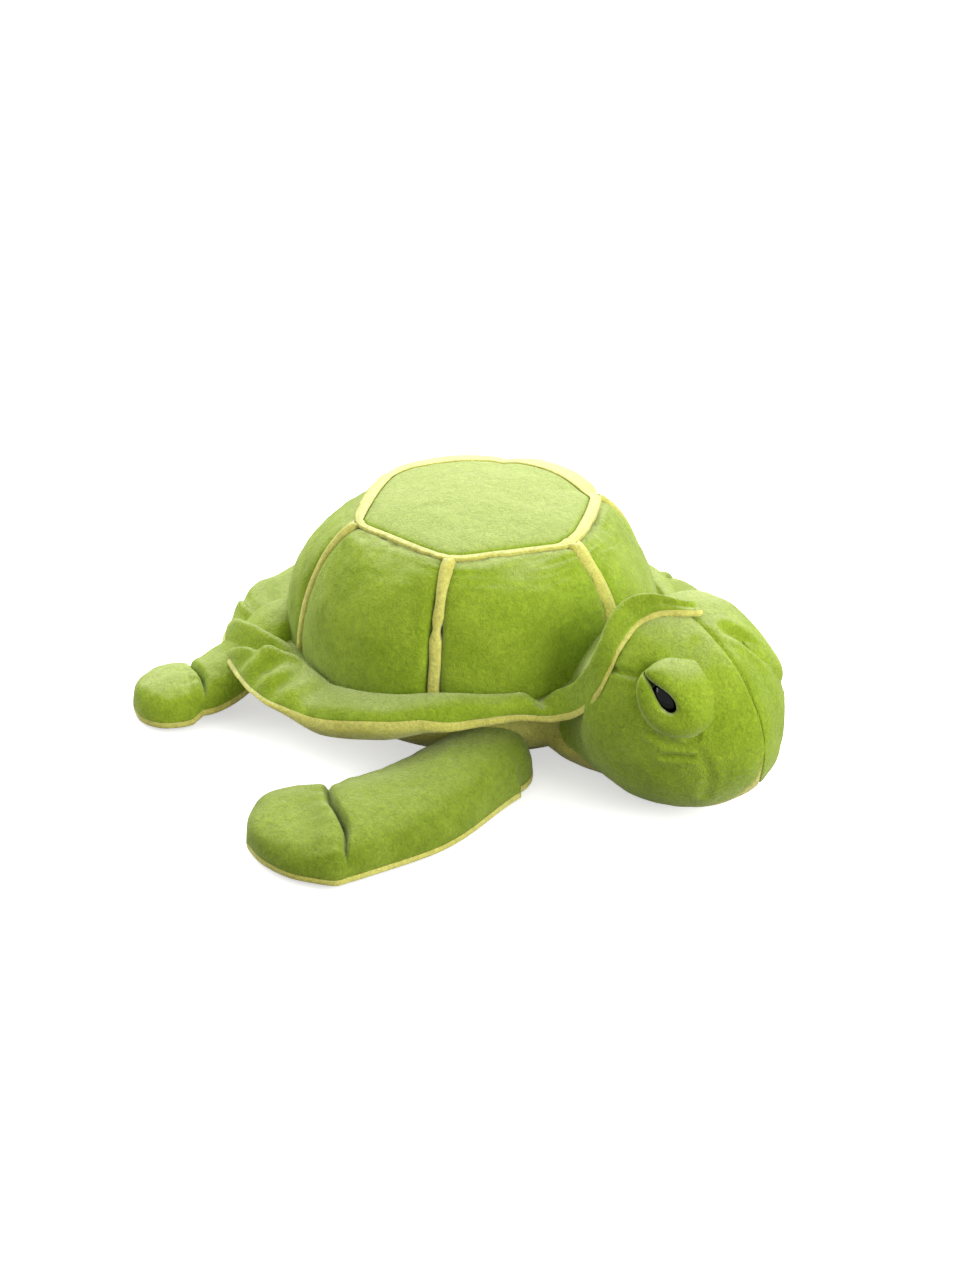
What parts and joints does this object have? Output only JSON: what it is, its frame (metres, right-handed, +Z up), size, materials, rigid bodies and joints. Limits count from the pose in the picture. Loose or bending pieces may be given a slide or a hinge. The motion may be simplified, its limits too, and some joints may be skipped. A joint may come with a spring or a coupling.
{
  "type": "stuffed sea turtle",
  "caption": "Stuffed sea turtle of green and pale yellow short-pile plush, with a padded panelled shell, a stuffed rim, jointed flippers, plastic eyes and a nodding head.",
  "frame": {"origin": "on the floor at the middle of the belly's flat, under the centre of the shell's top panel", "axes": "+X forward towards the head, +Y to the turtle's left, +Z up"},
  "size_m": [0.4512, 0.474, 0.147],
  "materials": {
    "green_plush": "short-pile plush with mottled nap",
    "yellow_plush": "short-pile plush",
    "filling": "loose polyester fibre, hidden",
    "eye_black": "gloss",
    "washer_white": "matte, hidden"
  },
  "bodies": {
    "body": {"belly_panel": "yellow_plush", "body_stuffing": "filling", "rim_lower_panel": "yellow_plush", "rim_upper_panel": "green_plush", "rim_wadding": "filling", "shell_panel_front_left": "green_plush", "shell_panel_front_right": "green_plush", "shell_panel_left": "green_plush", "shell_panel_rear_left": "green_plush", "shell_panel_rear_right": "green_plush", "shell_panel_right": "green_plush", "shell_strip_front": "yellow_plush", "shell_strip_left_front": "yellow_plush", "shell_strip_left_rear": "yellow_plush", "shell_strip_rear": "yellow_plush", "shell_strip_right_front": "yellow_plush", "shell_strip_right_rear": "yellow_plush", "shell_top_binding": "yellow_plush", "shell_top_panel": "green_plush"},
    "neck": {"neck_stuffing": "filling", "neck_upper_panel": "green_plush", "throat_panel": "yellow_plush"},
    "head": {"chin_panel": "yellow_plush", "head_left_panel": "green_plush", "head_right_panel": "green_plush", "head_stuffing": "filling", "left_eye": "eye_black", "left_eye_washer": "washer_white", "left_eyelid": "green_plush", "right_eye": "eye_black", "right_eye_washer": "washer_white", "right_eyelid": "green_plush"},
    "front_right_arm": {"front_right_arm_stuffing": "filling", "front_right_arm_under": "yellow_plush", "front_right_arm_upper": "green_plush"},
    "front_right_tip": {"front_right_tip_stuffing": "filling", "front_right_tip_under": "yellow_plush", "front_right_tip_upper": "green_plush"},
    "front_left_arm": {"front_left_arm_stuffing": "filling", "front_left_arm_under": "yellow_plush", "front_left_arm_upper": "green_plush"},
    "front_left_tip": {"front_left_tip_stuffing": "filling", "front_left_tip_under": "yellow_plush", "front_left_tip_upper": "green_plush"},
    "rear_right_arm": {"rear_right_arm_stuffing": "filling", "rear_right_arm_under": "yellow_plush", "rear_right_arm_upper": "green_plush"},
    "rear_right_tip": {"rear_right_tip_stuffing": "filling", "rear_right_tip_under": "yellow_plush", "rear_right_tip_upper": "green_plush"},
    "rear_left_arm": {"rear_left_arm_stuffing": "filling", "rear_left_arm_under": "yellow_plush", "rear_left_arm_upper": "green_plush"},
    "rear_left_tip": {"rear_left_tip_stuffing": "filling", "rear_left_tip_under": "yellow_plush", "rear_left_tip_upper": "green_plush"}
  },
  "joints": [
    {"name": "neck_turn", "type": "hinge", "parent": "body", "child": "neck", "pos_m": [0.118, 0, 0.051], "axis": [0, 0, 1], "range_deg": [-8, 12], "stiffness_Nm_per_rad": 0.3},
    {"name": "head_nod", "type": "hinge", "parent": "neck", "child": "head", "pos_m": [0.118, 0, 0.051], "axis": [0.2079, 0.9781, 0], "range_deg": [-3, 8], "stiffness_Nm_per_rad": 0.3},
    {"name": "front_right_flap", "type": "hinge", "parent": "body", "child": "front_right_arm", "pos_m": [0.088, -0.09, 0.008], "axis": [-0.9954, 0.0958, 0], "range_deg": [-30, 8], "stiffness_Nm_per_rad": 0.12},
    {"name": "front_right_tip_fold", "type": "hinge", "parent": "front_right_arm", "child": "front_right_tip", "pos_m": [0.07684, -0.20546, 0.008], "axis": [-0.8244, 0.566, 0], "range_deg": [-30, 30], "stiffness_Nm_per_rad": 0.04},
    {"name": "front_left_flap", "type": "hinge", "parent": "body", "child": "front_left_arm", "pos_m": [0.088, 0.09, 0.008], "axis": [0.9954, 0.0958, 0], "range_deg": [-30, 6], "stiffness_Nm_per_rad": 0.12},
    {"name": "front_left_tip_fold", "type": "hinge", "parent": "front_left_arm", "child": "front_left_tip", "pos_m": [0.02261, 0.17417, 0.008], "axis": [-0.1969, 0.9804, 0], "range_deg": [-30, 8], "stiffness_Nm_per_rad": 0.04},
    {"name": "rear_right_flap", "type": "hinge", "parent": "body", "child": "rear_right_arm", "pos_m": [-0.1, -0.089, 0.008], "axis": [-0.9816, 0.1908, 0], "range_deg": [-30, 5], "stiffness_Nm_per_rad": 0.06},
    {"name": "rear_right_tip_fold", "type": "hinge", "parent": "rear_right_arm", "child": "rear_right_tip", "pos_m": [-0.11373, -0.15968, 0.008], "axis": [-0.8571, 0.5152, 0], "range_deg": [-25, 25], "stiffness_Nm_per_rad": 0.02},
    {"name": "rear_left_flap", "type": "hinge", "parent": "body", "child": "rear_left_arm", "pos_m": [-0.1, 0.089, 0.008], "axis": [0.9816, 0.1908, 0], "range_deg": [-30, 5], "stiffness_Nm_per_rad": 0.06},
    {"name": "rear_left_tip_fold", "type": "hinge", "parent": "rear_left_arm", "child": "rear_left_tip", "pos_m": [-0.11373, 0.15968, 0.008], "axis": [0.8571, 0.5152, 0], "range_deg": [-25, 25], "stiffness_Nm_per_rad": 0.02}
  ]
}
